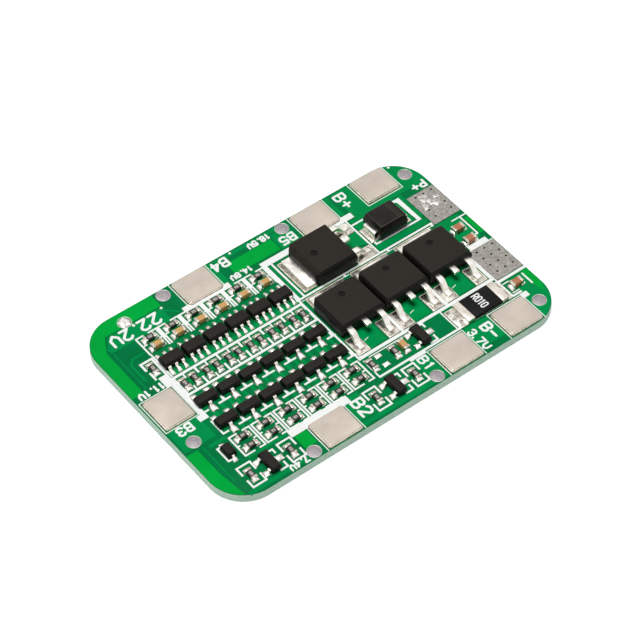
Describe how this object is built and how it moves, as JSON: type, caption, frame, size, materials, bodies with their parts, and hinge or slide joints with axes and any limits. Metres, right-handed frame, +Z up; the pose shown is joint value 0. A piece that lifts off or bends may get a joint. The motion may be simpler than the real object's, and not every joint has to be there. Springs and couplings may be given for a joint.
{
  "type": "battery management board",
  "caption": "Flat rectangular circuit board with round corners, nickel cell tabs on its edges, tinned output pads and small moulded parts on top.",
  "frame": {"origin": "centre of the flat underside of the board", "axes": "+X along the long side, towards the output pads; +Y from the edge with tabs B2, B1 and B- to the edge with B4, B5 and B+; +Z up through the parts"},
  "size_m": [0.05, 0.032, 0.0036],
  "materials": {
    "laminate": "green solder mask over glass-fibre laminate, glossy",
    "solder": "reflowed solder, bright and slightly uneven",
    "tinned_copper": "hot-air levelled tin over copper, dull grey",
    "nickel": "rolled nickel strip, satin",
    "plated_end": "tinned chip terminals, satin",
    "tinned_lead": "matte tin plating on formed copper leads",
    "tan_ceramic": "tan fired ceramic",
    "brown_ceramic": "brown fired ceramic",
    "resistor_glaze": "black glaze",
    "moulding_compound": "black epoxy moulding compound, fine-grained matte"
  },
  "bodies": {
    "root": {"circuit_board": "laminate", "solder_lands": "solder", "tab_lands": "solder", "nickel_tab_b1": "nickel", "nickel_tab_b2": "nickel", "nickel_tab_b3": "nickel", "nickel_tab_b4": "nickel", "nickel_tab_b5": "nickel", "nickel_tab_plus": "nickel", "nickel_tab_minus": "nickel", "output_pad_plus": "tinned_copper", "output_pad_minus": "tinned_copper", "sense_wire_pads": "solder", "cell_monitor_1": "moulding_compound", "cell_monitor_2": "moulding_compound", "cell_monitor_3": "moulding_compound", "cell_monitor_4": "moulding_compound", "cell_monitor_5": "moulding_compound", "cell_monitor_6": "moulding_compound", "cell_monitor_leads_1": "tinned_lead", "cell_monitor_leads_2": "tinned_lead", "cell_monitor_leads_3": "tinned_lead", "cell_monitor_leads_4": "tinned_lead", "cell_monitor_leads_5": "tinned_lead", "cell_monitor_leads_6": "tinned_lead", "power_fet_1": "moulding_compound", "power_fet_2": "moulding_compound", "power_fet_3": "moulding_compound", "power_fet_4": "moulding_compound", "power_fet_frame_1": "tinned_lead", "power_fet_frame_2": "tinned_lead", "power_fet_frame_3": "tinned_lead", "power_fet_frame_4": "tinned_lead", "blocking_diode": "moulding_compound", "blocking_diode_terminals": "tinned_lead", "current_shunt": "resistor_glaze", "current_shunt_ends": "plated_end", "filter_capacitors": "tan_ceramic", "filter_capacitor_ends": "plated_end", "output_capacitors": "brown_ceramic", "output_capacitor_ends": "plated_end", "supply_resistors": "resistor_glaze", "supply_resistor_ends": "plated_end", "divider_resistors": "resistor_glaze", "divider_resistor_ends": "plated_end", "bleed_resistors": "resistor_glaze", "bleed_resistor_ends": "plated_end", "bias_resistors": "resistor_glaze", "bias_resistor_ends": "plated_end", "upper_transistors": "moulding_compound", "upper_transistor_leads": "tinned_lead", "lower_transistors": "moulding_compound", "lower_transistor_leads": "tinned_lead", "driver_transistors": "moulding_compound", "driver_transistor_leads": "tinned_lead", "signal_diode": "moulding_compound", "signal_diode_leads": "tinned_lead"}
  },
  "joints": []
}
